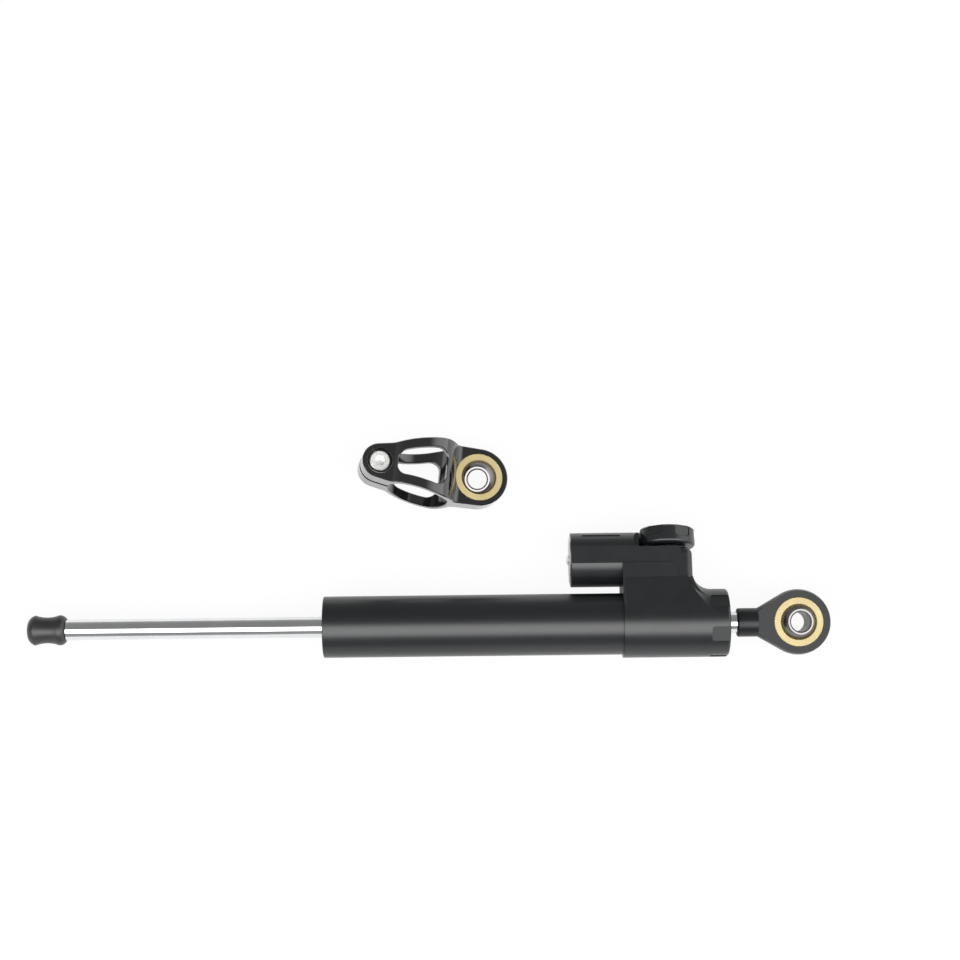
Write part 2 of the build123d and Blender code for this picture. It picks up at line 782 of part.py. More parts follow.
def rod_end():
    body, cone_x = eye_blank()
    over = Box(4 * eye_r, 4 * eye_r, 2 * eye_r, align=(Align.MIN, Align.CENTER, Align.MIN))
    body -= Pos(cone_x, 0, eye_flat_half) * over
    body -= Pos(cone_x, 0, -eye_flat_half - 2 * eye_r) * over
    body -= Cylinder(race_od / 2 + push_gap, 4 * eye_flat_half)
    body = Rot(rod_end_clock, 0, 0) * body
    return body - bar_x(rod_thread_d + 2 * push_gap, shank_x - through, shank_x + rod_thread_length)


def bearing_race():
    """Outer ring of the ball bearing, its axis on Z."""
    ring = Cylinder(race_od / 2, race_width)
    for face in (race_width / 2, -race_width / 2):
        ring = chamfer(end_circles(ring, Axis.Z, face, race_od / 2), race_chamfer)
    ring -= Sphere(ball_d / 2 + run_gap)
    mouth = sqrt((ball_d / 2 + run_gap) ** 2 - race_width**2 / 4)
    for face in (race_width / 2, -race_width / 2):
        ring = chamfer(end_circles(ring, Axis.Z, face, mouth), race_mouth_chamfer)
    return ring


def bearing_ball():
    """Bored ball of the bearing, its bore on Z."""
    ball = Sphere(ball_d / 2) & Cylinder(ball_d, ball_width)
    ball -= Cylinder(ball_bore / 2, 2 * ball_width)
    for face in (ball_width / 2, -ball_width / 2):
        ball = chamfer(end_circles(ball, Axis.Z, face, ball_bore / 2), ball_chamfer)
    return ball


def rod_end_race():
    return Rot(rod_end_clock, 0, 0) * bearing_race()


def rod_end_ball():
    return Rot(rod_end_clock, 0, 0) * Rot(0, rod_ball_lean, 0) * bearing_ball()


def clamp_place():
    """Where the loose clamp lies on the bench, resting on its ring."""
    return Pos(clamp_x, clamp_y, clamp_z) * Rot(0, 0, clamp_yaw) * Rot(0, clamp_roll, 0)


def clamp_side():
    """The clamp seen along its ring: ring, bearing ear and screw lips, with the slit."""
    ear_tip = clamp_reach + clamp_ear_r + through
    lip_tip = clamp_lip_reach + clamp_lip_r + through
    side = Circle(clamp_ring_r)
    side += Pos(ear_tip / 2, 0) * Rectangle(ear_tip, race_width)
    side += Pos(-lip_tip / 2, 0) * Rectangle(lip_tip, 2 * lip_half)
    ear_root = sqrt(clamp_ring_r**2 - race_width**2 / 4)
    lip_root = -sqrt(clamp_ring_r**2 - lip_half**2)
    roots = side.vertices().filter_by(
        lambda v: min(abs(v.X - ear_root), abs(v.X - lip_root)) < 0.01
    )
    side = fillet(roots, clamp_blend)
    side -= Circle(clamp_bore_r)
    return side - Pos(-lip_tip / 2, 0) * Rectangle(lip_tip + through, clamp_slit)


def clamp_plan():
    """The clamp seen from above: a band that widens from the lips to the round ear."""
    lean = atan((clamp_band_half - clamp_lip_r) / (clamp_band_at + clamp_lip_reach))
    touch_x = -clamp_lip_reach - clamp_lip_r * sin(lean)
    touch_y = clamp_lip_r * cos(lean)
    band = Polygon(
        (touch_x, touch_y),
        (touch_x, -touch_y),
        (clamp_band_at, -clamp_band_half),
        (clamp_reach, -clamp_ear_r),
        (clamp_reach, clamp_ear_r),
        (clamp_band_at, clamp_band_half),
        align=None,
    )
    shoulders = band.vertices().filter_by_position(Axis.X, clamp_band_at - 1, clamp_band_at + 1)
    band = fillet(shoulders, clamp_band_round)
    return band + Pos(-clamp_lip_reach, 0) * Circle(clamp_lip_r) + Pos(clamp_reach, 0) * Circle(clamp_ear_r)


def clamp_window():
    window = Polygon(
        (window_left, window_left_half),
        (window_left, -window_left_half),
        (window_right, -window_right_half),
        (window_right, window_right_half),
        align=None,
    )
    return fillet(window.vertices(), window_corner)


def clamp_outline(edge):
    """True for the clamp's rims and windows, not for its straight creases or its slit."""
    way = edge % 0.5
    straight = edge.geom_type == GeomType.LINE and max(abs(way.Y), abs(way.Z)) > 0.999
    middle = edge @ 0.5
    in_slit = middle.X < -clamp_bore_r and abs(middle.Z) < clamp_slit
    return not straight and not in_slit


def clamp_collar():
    side = extrude(Plane.XZ * clamp_side(), 2 * clamp_ear_r, both=True)
    body = side & extrude(clamp_plan(), 2 * clamp_ring_r, both=True)
    body -= extrude(clamp_window(), 2 * clamp_ring_r, both=True)
    body = chamfer(body.edges().filter_by(clamp_outline), clamp_edge)
    body -= Pos(clamp_reach, 0, 0) * Cylinder(race_od / 2 + push_gap, 2 * clamp_ring_r)
    hole = Cylinder(clamp_screw_d / 2 + push_gap, 2 * clamp_ring_r)
    sink = Cylinder(clamp_counterbore / 2, clamp_ring_r, align=(Align.CENTER, Align.CENTER, Align.MIN))
    body -= Pos(-clamp_lip_reach, 0, 0) * hole
    body -= Pos(-clamp_lip_reach, 0, lip_floor) * sink
    body = chamfer(end_circles(body, Axis.Z, lip_half, clamp_counterbore / 2), clamp_sink_edge)
    return clamp_place() * body


def clamp_screw():
    head = Cylinder(
        clamp_screw_head_d / 2, clamp_screw_head, align=(Align.CENTER, Align.CENTER, Align.MIN)
    )
    rim = end_circles(head, Axis.Z, clamp_screw_head, clamp_screw_head_d / 2)
    head = chamfer(rim, clamp_screw_chamfer)
    socket = RegularPolygon(clamp_screw_hex / 2, 6, major_radius=False)
    socket = extrude(socket, 2 * clamp_screw_hex_depth)
    head -= Pos(0, 0, clamp_screw_head - clamp_screw_hex_depth) * socket
    length = lip_floor + lip_half - through
    shank = Cylinder(clamp_screw_d / 2, length, align=(Align.CENTER, Align.CENTER, Align.MAX))
    return clamp_place() * Pos(-clamp_lip_reach, 0, lip_floor) * (head + shank)


def clamp_race():
    return clamp_place() * Pos(clamp_reach, 0, 0) * bearing_race()


def clamp_ball():
    lean = Rot(clamp_ball_nod, 0, 0) * Rot(0, clamp_ball_lean, 0)
    return clamp_place() * Pos(clamp_reach, 0, 0) * lean * bearing_ball()


def valve_seat():
    ring = pipe_y(valve_seat_d, valve_orifice, seat_ring_low, valve_floor_y)
    return chamfer(end_circles(ring, Axis.Y, valve_floor_y, valve_orifice / 2), edge_break)


def needle_valve():
    """Flat-sided needle that cannot turn, with its cone lifted off the seat."""
    top = needle_body_y + needle_length
    tip = face_y((needle_tip_y + needle_body_y) / 2) * Cone(needle_tip_r, needle_root_r, needle_tip_length)
    body = bar_y(needle_d, needle_body_y, top)
    key = Box(2 * needle_key_flat, needle_length, needle_d)
    body &= Pos(column_x, (needle_body_y + top) / 2, 0) * key
    body += tip
    thread_floor = needle_body_y + needle_thread_floor
    return body - bar_y(needle_thread_d + 2 * run_gap, thread_floor, top + through)


def adjuster_housing():
    """Plug that closes the valve bore, guides the needle and carries the click raceway."""
    collar_top = spindle_low + spindle_collar
    body = bar_y(valve_bore, spindle_low - housing_guide, seat_y)
    body += bar_y(housing_flange_d, seat_y, housing_top)
    body = chamfer(end_circles(body, Axis.Y, housing_top, housing_flange_d / 2), housing_chamfer)
    body -= bar_y(spindle_d + 2 * run_gap, spindle_low, housing_top + through)
    body -= bar_y(spindle_collar_d + 2 * run_gap, spindle_low - 0.001, collar_top + run_gap)
    key = Box(2 * (needle_key_flat + run_gap), housing_guide + through, needle_d + 2 * run_gap)
    body -= Pos(column_x, spindle_low - housing_guide / 2, 0) * key
    half = o_ring_section / 2 + push_gap
    ring_r = valve_bore / 2 - o_ring_section - push_gap
    groove = pipe_y(valve_bore + through, 2 * ring_r, housing_ring_y - half, housing_ring_y + half)
    body -= groove
    seal_half = spindle_ring_section / 2 + push_gap
    seal_r = spindle_d / 2 + spindle_ring_section + 2 * push_gap
    body -= bar_y(2 * seal_r, spindle_ring_y - seal_half, spindle_ring_y + seal_half)
    raceway_floor = housing_top - raceway_depth
    outside = 2 * click_radius + raceway_width
    inside = 2 * click_radius - raceway_width
    body -= pipe_y(outside, inside, raceway_floor, housing_top + through)
    for k in range(click_count):
        dimple = Rot(0, k * 360 / click_count, 0) * Pos(0, 0, click_radius) * Sphere(dimple_r)
        body -= Pos(column_x, raceway_floor + dimple_centre_up, 0) * dimple
    return body


def housing_o_ring():
    return o_ring(valve_bore / 2 + push_gap, face_y(housing_ring_y))


def spindle_o_ring():
    half = spindle_ring_section / 2
    return face_y(spindle_ring_y) * Torus(spindle_d / 2 + run_gap + half, half)


def spindle():
    """Turning screw that the collar holds down in the housing; its thread drives the needle."""
    collar_low = spindle_low + run_gap
    thread_end = collar_low - needle_length + spindle_thread_short
    body = bar_y(needle_thread_d, thread_end, collar_low)
    body += bar_y(spindle_collar_d, collar_low, spindle_low + spindle_collar)
    body += bar_y(spindle_d, spindle_low + spindle_collar, spindle_top)
    hole_low = spindle_top - knob_screw_bite - through
    return body - bar_y(knob_screw_d + 2 * push_gap, hole_low, spindle_top + through)


def grip_outline(edge):
    """True for the edges where a grip pocket meets the knob's round side."""
    points = [edge @ 0, edge @ 0.5, edge @ 1]
    on_side = all(sqrt((v.X - column_x) ** 2 + v.Z**2) > knob_r - 0.001 for v in points)
    return on_side and knob_low + knob_rim - 0.01 < points[1].Y < knob_top - knob_edge - 0.01


def knob():
    body = bar_y(knob_d, knob_low, knob_top)
    body = chamfer(end_circles(body, Axis.Y, knob_top, knob_r), knob_edge)
    body = fillet(end_circles(body, Axis.Y, knob_low, knob_r), knob_foot_round)
    grip = Box(
        knob_grip_width,
        knob_height,
        2 * knob_grip_depth,
        align=(Align.CENTER, Align.MIN, Align.MIN),
    )
    grip = fillet(grip.edges().filter_by(Axis.Z).sort_by(Axis.Y)[:2], knob_grip_corner)
    grip = Pos(0, knob_low + knob_rim, knob_r - knob_grip_depth) * grip
    for k in range(knob_grip_count):
        angle = first_grip_angle + k * 360 / knob_grip_count
        body -= Pos(column_x, 0, 0) * Rot(0, angle, 0) * grip
    body = chamfer(body.edges().filter_by(grip_outline), knob_grip_edge)
    body -= bar_y(spindle_d + 2 * push_gap, knob_low - through, spindle_top)
    body -= bar_y(knob_screw_d + 2 * knob_screw_gap, knob_low, knob_top + through)
    body -= bar_y(knob_screw_head_d + 2 * knob_screw_gap, knob_screw_seat, knob_top + through)
    return body - detent_hole()


def detent_hole():
    return bar_y(detent_bore, knob_low - through, knob_low + detent_hole_depth, column_x, -click_radius)


def detent_ball():
    centre = housing_top - raceway_depth + run_gap + detent_ball_d / 2
    return Pos(column_x, centre, -click_radius) * Sphere(detent_ball_d / 2)


def detent_spring():
    low = housing_top - raceway_depth + run_gap + detent_ball_d + spring_wire / 2 + push_gap
    high = knob_low + detent_hole_depth - spring_wire / 2 - push_gap
    radius = detent_bore / 2 - spring_wire / 2 - spring_side_gap
    coil = Helix((high - low) / spring_turns, high - low, radius)
    wire = Plane(coil @ 0, z_dir=coil % 0) * Circle(spring_wire / 2)
    body = sweep(wire, path=coil, is_frenet=True)
    return Pos(column_x, low, -click_radius) * Rot(-90, 0, 0) * body


def knob_screw():
    top = knob_screw_seat + knob_screw_head
    head = bar_y(knob_screw_head_d, knob_screw_seat, top)
    head = chamfer(end_circles(head, Axis.Y, top, knob_screw_head_d / 2), edge_break)
    socket = extrude(RegularPolygon(knob_screw_hex / 2, 6, major_radius=False), knob_screw_head)
    head -= face_y(top - knob_screw_hex_depth) * socket
    return head + bar_y(knob_screw_d, spindle_top - knob_screw_bite, knob_screw_seat)


parts = {
    "outer_tube": outer_tube(),
    "inner_cylinder": inner_cylinder(),
    "end_gland": end_gland(),
    "end_gland_o_ring": end_gland_o_ring(),
    "end_bush": rod_bush(bush_left, bush_left + bush_length),
    "end_rod_seal": rod_seal(seal_left, bush_left, 1),
    "end_wiper": rod_wiper(wiper_left, seal_left, -1),
    "end_clip": end_clip(),
    "head_body": head_body(),
    "tube_o_ring": tube_o_ring(),
    "head_bush": rod_bush(head_bush_right - bush_length, head_bush_right),
    "head_rod_seal": rod_seal(head_bush_right, head_seal_right, -1),
    "head_wiper": rod_wiper(head_seal_right, head_wiper_right, 1),
    "head_clip": head_clip(),
    "reservoir_plug": reservoir_plug(),
    "plug_o_ring": plug_o_ring(),
    "charge_screw": charge_screw(),
    "floating_piston": floating_piston(),
    "floating_piston_o_ring": floating_piston_o_ring(),
    "valve_seat": valve_seat(),
    "needle_valve": needle_valve(),
    "adjuster_housing": adjuster_housing(),
    "housing_o_ring": housing_o_ring(),
    "spindle_o_ring": spindle_o_ring(),
    "adjuster_spindle": spindle(),
    "adjuster_knob": knob(),
    "knob_screw": knob_screw(),
    "detent_ball": detent_ball(),
    "detent_spring": detent_spring(),
    "piston": piston(),
    "piston_ring": piston_ring(),
    "piston_clips": piston_clips(),
    "piston_rod": piston_rod(),
    "end_stop": end_stop(),
    "rod_end": rod_end(),
    "rod_end_race": rod_end_race(),
    "rod_end_ball": rod_end_ball(),
    "clamp_collar": clamp_collar(),
    "clamp_screw": clamp_screw(),
    "clamp_race": clamp_race(),
    "clamp_ball": clamp_ball(),
}

os.makedirs("parts", exist_ok=True)
for name, shape in parts.items():
    export_step(shape, f"parts/{name}.step")
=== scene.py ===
import json
import math

import bpy
from bpy.props import FloatProperty, FloatVectorProperty, IntProperty, PointerProperty
from mathutils import Matrix, Vector


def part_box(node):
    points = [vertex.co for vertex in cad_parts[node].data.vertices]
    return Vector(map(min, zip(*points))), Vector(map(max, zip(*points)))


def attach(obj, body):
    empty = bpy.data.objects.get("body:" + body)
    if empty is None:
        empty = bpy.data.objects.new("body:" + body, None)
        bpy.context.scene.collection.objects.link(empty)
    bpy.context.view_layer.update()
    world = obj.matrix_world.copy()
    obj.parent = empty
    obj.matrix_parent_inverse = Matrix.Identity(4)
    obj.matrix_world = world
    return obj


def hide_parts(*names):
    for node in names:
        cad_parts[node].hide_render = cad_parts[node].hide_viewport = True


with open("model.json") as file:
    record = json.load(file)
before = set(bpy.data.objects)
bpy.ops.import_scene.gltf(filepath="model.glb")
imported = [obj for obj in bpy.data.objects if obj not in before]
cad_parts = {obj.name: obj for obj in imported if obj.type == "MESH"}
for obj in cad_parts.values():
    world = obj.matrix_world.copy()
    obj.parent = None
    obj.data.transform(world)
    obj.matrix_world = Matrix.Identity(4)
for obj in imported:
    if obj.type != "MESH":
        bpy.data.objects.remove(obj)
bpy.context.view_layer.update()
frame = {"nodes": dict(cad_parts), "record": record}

bl_info = {
    "name": "Steering Damper",
    "version": (1, 0, 0),
    "blender": (4, 5, 0),
    "location": "3D View > Sidebar > Damper",
    "description": "Finishes, rubber pieces and stage of a linear steering damper",
    "category": "Object",
}

MM = 0.001


def corners(node):
    """Lowest and highest corner of a CAD node."""
    low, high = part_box(node)
    return low, high


def mount(name):
    """Place and axis of one of the record's mounts."""
    for entry in frame["record"]["mounts"]:
        if entry["name"] == name:
            return Vector(entry["pos_m"]), Vector(entry["axis"])
    raise RuntimeError("there is no mount named " + name)


# Settings that a user would change

class DamperFinishSettings(bpy.types.PropertyGroup):
    black_tone: FloatVectorProperty(
        name="Black", description="Colour of the satin black anodised pieces",
        subtype="COLOR", size=3, min=0, max=1, default=(0.0054, 0.0062, 0.0069))
    black_roughness: FloatProperty(
        name="Black Roughness", description="How satin the anodised pieces are",
        subtype="FACTOR", min=0, max=1, default=0.31)
    clamp_tone: FloatVectorProperty(
        name="Clamp", description="Colour of the gloss black clamp",
        subtype="COLOR", size=3, min=0, max=1, default=(0.0040, 0.0040, 0.0045))
    clamp_roughness: FloatProperty(
        name="Clamp Roughness", description="How glossy the clamp is",
        subtype="FACTOR", min=0, max=1, default=0.12)
    rod_tone: FloatVectorProperty(
        name="Rod", description="Colour of the chromed rod",
        subtype="COLOR", size=3, min=0, max=1, default=(0.74, 0.75, 0.76))
    brass_tone: FloatVectorProperty(
        name="Bearing Ring", description="Colour of the bearings' pale outer rings",
        subtype="COLOR", size=3, min=0, max=1, default=(0.41, 0.335, 0.165))
    ball_tone: FloatVectorProperty(
        name="Ball", description="Colour of the bearings' steel balls",
        subtype="COLOR", size=3, min=0, max=1, default=(0.22, 0.21, 0.21))
    rubber_tone: FloatVectorProperty(
        name="Rubber", description="Colour of the end stop and the wipers",
        subtype="COLOR", size=3, min=0, max=1, default=(0.010, 0.010, 0.010))
    grain: FloatProperty(
        name="Blast Grain", description="Size of the grain that blasting leaves before anodising",
        unit="LENGTH", min=0.00002, max=0.002, default=0.00012)


class DamperRubberSettings(bpy.types.PropertyGroup):
    face_radius: FloatProperty(
        name="Face Radius", description="Radius of the end stop's face towards the tube",
        unit="LENGTH", min=0.0045, max=0.02, default=0.0049)
    ridge_radius: FloatProperty(
        name="Ridge Radius", description="Radius of the end stop's two ridges",
        unit="LENGTH", min=0.0045, max=0.02, default=0.00615)
    waist_radius: FloatProperty(
        name="Waist Radius", description="Radius of the end stop between its ridges",
        unit="LENGTH", min=0.0042, max=0.02, default=0.00528)
    tip_radius: FloatProperty(
        name="Tip Radius", description="Radius of the flat at the end stop's tip",
        unit="LENGTH", min=0.0005, max=0.02, default=0.003)
    wiper_step: FloatProperty(
        name="Wiper Step", description="How far each wiper's lip stands out of its body",
        unit="LENGTH", min=0.0001, max=0.003, default=0.001)
    rounding: FloatProperty(
        name="Rounding", description="Radius that the mould leaves on the wipers' edges",
        unit="LENGTH", min=0, max=0.001, default=0.00018)
    steps_round: IntProperty(
        name="Steps Round", description="Faces round each rubber piece",
        min=16, max=192, default=128)


class DamperStageSettings(bpy.types.PropertyGroup):
    floor_size: FloatProperty(
        name="Floor Size", description="Side of the white floor",
        unit="LENGTH", min=1, max=50, default=12)
    floor_white: FloatProperty(
        name="Floor White",
        description="How much of the floor's white is its own, so that shadows stay faint",
        subtype="FACTOR", min=0, max=1, default=0.93)
    floor_mirrored: FloatProperty(
        name="Floor Mirrored", description="The same share where polished metal mirrors the floor",
        subtype="FACTOR", min=0, max=1, default=0.25)
    panel_light: FloatProperty(
        name="Panel Light", description="Strength of the long soft panel over the bench",
        min=0, max=20, default=5.2)
    panel_rise: FloatProperty(
        name="Panel Rise", description="How high the panel stands, from the near horizon up",
        subtype="ANGLE", min=0, max=math.pi, default=math.radians(63))
    panel_half: FloatProperty(
        name="Panel Half Width", description="Angle from the panel's middle to where its light ends",
        subtype="ANGLE", min=0.05, max=1.5, default=math.radians(26))
    panel_core: FloatProperty(
        name="Panel Core", description="Angle from the panel's middle over which its light is full",
        subtype="ANGLE", min=0.01, max=1.4, default=math.radians(11))
    side_light: FloatProperty(
        name="Side Light", description="Strength of the low light past the rod end",
        min=0, max=10, default=1.6)
    sky_low: FloatProperty(
        name="Low Light", description="Strength of the studio's light near the horizon",
        min=0, max=2, default=0.45)
    sky_high: FloatProperty(
        name="High Light", description="Strength of the studio's light overhead",
        min=0, max=2, default=0.28)
    lens: FloatProperty(
        name="Lens", description="Focal length of the camera in millimetres",
        min=10, max=300, default=73.5)


# Materials

# Between these values a noise pattern mostly stays
NOISE_LOW, NOISE_HIGH = 0.35, 0.65
# How much broader the mottling of a colour is than its fine grain
BROAD_OVER_FINE = 60
# Shares of the tool marks and of the grain in a turned face's relief, and how the marks waver
MARK_SHARE, GRAIN_SHARE = 0.6, 0.4
MARK_WAVER = 0.6
# A pit's radius in its cell, the random value from which a cell has a pit, and a pit's shade
PIT_RADIUS, PIT_FROM, PIT_SHADE = 0.13, 0.82, 0.35


def put(tree, kind, inputs=None, **settings):
    """Adds a node; an input takes a value, or the socket that feeds it."""
    made = tree.nodes.new(kind)
    for key, value in settings.items():
        setattr(made, key, value)
    for key, value in (inputs or {}).items():
        if isinstance(value, bpy.types.NodeSocket):
            tree.links.new(value, made.inputs[key])
        else:
            made.inputs[key].default_value = value
    return made


def math_node(tree, operation, first, second):
    return put(tree, "ShaderNodeMath", {0: first, 1: second}, operation=operation).outputs[0]


def blend_colours(tree, share, first, second):
    made = put(tree, "ShaderNodeMix", data_type="RGBA")
    tree.links.new(share, made.inputs["Factor"])
    for socket, value in ((made.inputs[6], first), (made.inputs[7], second)):
        if isinstance(value, bpy.types.NodeSocket):
            tree.links.new(value, socket)
        else:
            socket.default_value = (*value, 1)
    return made.outputs[2]


def ramp(tree, value, start, end, low, high, shape="LINEAR"):
    """Carries a value from the span of start to end over to that of low to high."""
    made = put(tree, "ShaderNodeMapRange", {"Value": value, "From Min": start, "From Max": end,
                                           "To Min": low, "To Max": high}, interpolation_type=shape)
    return made.outputs["Result"]


def spread(tree, value, low, high):
    """Stretches a pattern's middle, where noise mostly stays, over low to high."""
    return ramp(tree, value, NOISE_LOW, NOISE_HIGH, low, high)


def noise(tree, vector, size, detail=3.0):
    """Noise whose features are about this many metres across."""
    made = put(tree, "ShaderNodeTexNoise", {"Vector": vector, "Scale": 1 / size, "Detail": detail})
    return made.outputs["Fac"]


def shade(tone, share):
    """A colour made darker or lighter by this share."""
    return tuple(part * share for part in tone)


def finish(name, tone, worn, roughness, grain, metallic=0.0, stretch=(1, 1, 1), bump=0.08,
           depth=0.000004, centre=(0, 0, 0), turn=(0, 0, 0), rings=None, specks=None,
           specular=0.5, coat=0.0):
    """A metal, rubber or plastic finish.

    tone and worn are the colours that mix over it, roughness its two ends, grain the size of
    its fine texture in metres, stretch how the grain is drawn out. bump is how strongly the
    relief shows and depth how deep it is. centre and turn place the pattern. rings is the pitch
    of the tool marks round the pattern's own Z, and specks the spacing of small dark pits.
    specular and coat are the surface's mirror strength and its layer of lacquer.
    """
    material = bpy.data.materials.new(name)
    material.use_nodes = True
    tree = material.node_tree
    shader = tree.nodes["Principled BSDF"]
    coords = put(tree, "ShaderNodeTexCoord").outputs["Object"]
    moved = put(tree, "ShaderNodeMapping", {"Vector": coords, "Location": centre, "Rotation": turn},
                vector_type="TEXTURE").outputs["Vector"]
    drawn = put(tree, "ShaderNodeMapping", {"Vector": moved, "Scale": stretch}).outputs["Vector"]
    fine = noise(tree, drawn, grain)
    broad = noise(tree, drawn, grain * BROAD_OVER_FINE, detail=2.0)
    colour = blend_colours(tree, spread(tree, broad, 0.0, 1.0), tone, worn)
    height = fine
    if rings:
        marks = put(tree, "ShaderNodeTexWave",
                    {"Vector": moved, "Scale": 1 / rings / math.tau * math.pi,
                     "Distortion": MARK_WAVER, "Detail": 2.0, "Detail Scale": 1.5},
                    wave_type="RINGS", rings_direction="Z").outputs["Fac"]
        height = math_node(tree, "MULTIPLY", marks, MARK_SHARE)
        height = math_node(tree, "ADD", height, math_node(tree, "MULTIPLY", fine, GRAIN_SHARE))
    if specks:
        cells = put(tree, "ShaderNodeTexVoronoi", {"Vector": moved, "Scale": 1 / specks})
        pits = math_node(tree, "LESS_THAN", cells.outputs["Distance"], PIT_RADIUS)
        chosen = math_node(tree, "GREATER_THAN", cells.outputs["Color"], PIT_FROM)
        pits = math_node(tree, "MULTIPLY", pits, chosen)
        colour = blend_colours(tree, pits, colour, shade(tone, PIT_SHADE))
        height = math_node(tree, "SUBTRACT", height, pits)
    relief = put(tree, "ShaderNodeBump", {"Height": height, "Strength": bump, "Distance": depth})
    tree.links.new(colour, shader.inputs["Base Color"])
    tree.links.new(spread(tree, fine, *roughness), shader.inputs["Roughness"])
    tree.links.new(relief.outputs["Normal"], shader.inputs["Normal"])
    shader.inputs["Metallic"].default_value = metallic
    shader.inputs["Specular IOR Level"].default_value = specular
    shader.inputs["Coat Weight"].default_value = coat
    shader.inputs["Coat Roughness"].default_value = roughness[0]
    return material


def wear(node, material):
    """Gives a CAD node its finish."""
    for slot in frame["nodes"][node].material_slots:
        slot.material = material


def around(centre, axis):
    """Location and rotation of a pattern whose Z runs along this axis."""
    turn = Vector((0, 0, 1)).rotation_difference(axis).to_euler()
    return {"centre": tuple(centre), "turn": tuple(turn)}


class DAMPER_OT_black_pieces(bpy.types.Operator):
    """Finishes the satin black anodised tube, head, knob, valve plug and rod end"""
    bl_idname = "damper.black_pieces"
    bl_label = "Black Pieces"

    def execute(self, context):
        settings = context.scene.damper_finish
        tone = tuple(settings.black_tone)
        worn = shade(tone, 1.35)
        rough = settings.black_roughness
        near = (rough - 0.03, rough + 0.04)
        wear("outer_tube", finish("satin black tube", tone, worn, roughness=near,
                                  grain=settings.grain, stretch=(0.12, 1, 1), bump=0.10))
        blasted = finish("satin black blasted", tone, worn, roughness=near, grain=settings.grain,
                         bump=0.12)
        for node in ("head_body", "adjuster_housing"):
            wear(node, blasted)
        wear("rod_end", finish("satin black rod end", tone, worn, roughness=near,
                               grain=settings.grain, bump=0.12, specular=0.26))
        wear("adjuster_knob", finish("satin black knob", tone, worn, roughness=(rough - 0.08, rough),
                                     grain=settings.grain, bump=0.10))
        return {"FINISHED"}


class DAMPER_OT_clamp(bpy.types.Operator):
    """Finishes the loose clamp's gloss black collar and its bright socket screw"""
    bl_idname = "damper.clamp"
    bl_label = "Clamp"

    def execute(self, context):
        settings = context.scene.damper_finish
        tone = tuple(settings.clamp_tone)
        rough = settings.clamp_roughness
        wear("clamp_collar", finish("gloss black clamp", tone, shade(tone, 1.5),
                                    roughness=(rough - 0.03, rough + 0.03), grain=0.0004,
                                    bump=0.05, coat=1.0))
        wear("clamp_screw", finish("bright screw", (0.80, 0.80, 0.78), (0.62, 0.61, 0.58),
                                   roughness=(0.34, 0.46), grain=0.0003, metallic=1.0, bump=0.3))
        return {"FINISHED"}


class DAMPER_OT_rod(bpy.types.Operator):
    """Finishes the chromed rod with its fine grinding marks"""
    bl_idname = "damper.rod"
    bl_label = "Rod"

    def execute(self, context):
        tone = tuple(context.scene.damper_finish.rod_tone)
        wear("piston_rod", finish("chromed rod", tone, shade(tone, 0.94), roughness=(0.07, 0.12),
                                  grain=0.0002, metallic=1.0, stretch=(1, 0.05, 0.05), bump=0.03))
        return {"FINISHED"}


class DAMPER_OT_bearings(bpy.types.Operator):
    """Finishes both ball bearings: turned pale rings and polished steel balls"""
    bl_idname = "damper.bearings"
    bl_label = "Bearings"

    def execute(self, context):
        settings = context.scene.damper_finish
        brass = tuple(settings.brass_tone)
        steel = tuple(settings.ball_tone)
        for eye, race, ball in (("rod_end_eye", "rod_end_race", "rod_end_ball"),
                                ("clamp_eye", "clamp_race", "clamp_ball")):
            centre, axis = mount(eye)
            place = around(centre, axis)
            wear(race, finish("turned " + race, brass, shade(brass, 0.88), roughness=(0.44, 0.54),
                              grain=0.0002, metallic=0.35, bump=0.12, rings=0.0003,
                              specks=0.0011, **place))
            wear(ball, finish("polished " + ball, steel, shade(steel, 0.90), roughness=(0.20, 0.28),
                              grain=0.0003, metallic=1.0, bump=0.04, **place))
        return {"FINISHED"}


class DAMPER_OT_plug(bpy.types.Operator):
    """Finishes the bare turned plug of the reservoir and its domed screw"""
    bl_idname = "damper.plug"
    bl_label = "Reservoir Plug"

    def execute(self, context):
        low, high = corners("reservoir_plug")
        place = around((low + high) / 2, Vector((1, 0, 0)))
        wear("reservoir_plug", finish("turned plug", (0.66, 0.66, 0.65), (0.56, 0.56, 0.55),
                                      roughness=(0.20, 0.32), grain=0.0002, metallic=1.0, bump=0.2,
                                      rings=0.0004, **place))
        wear("charge_screw", finish("domed screw", (0.74, 0.73, 0.71), (0.62, 0.61, 0.59),
                                    roughness=(0.15, 0.26), grain=0.0003, metallic=1.0, bump=0.1))
        return {"FINISHED"}


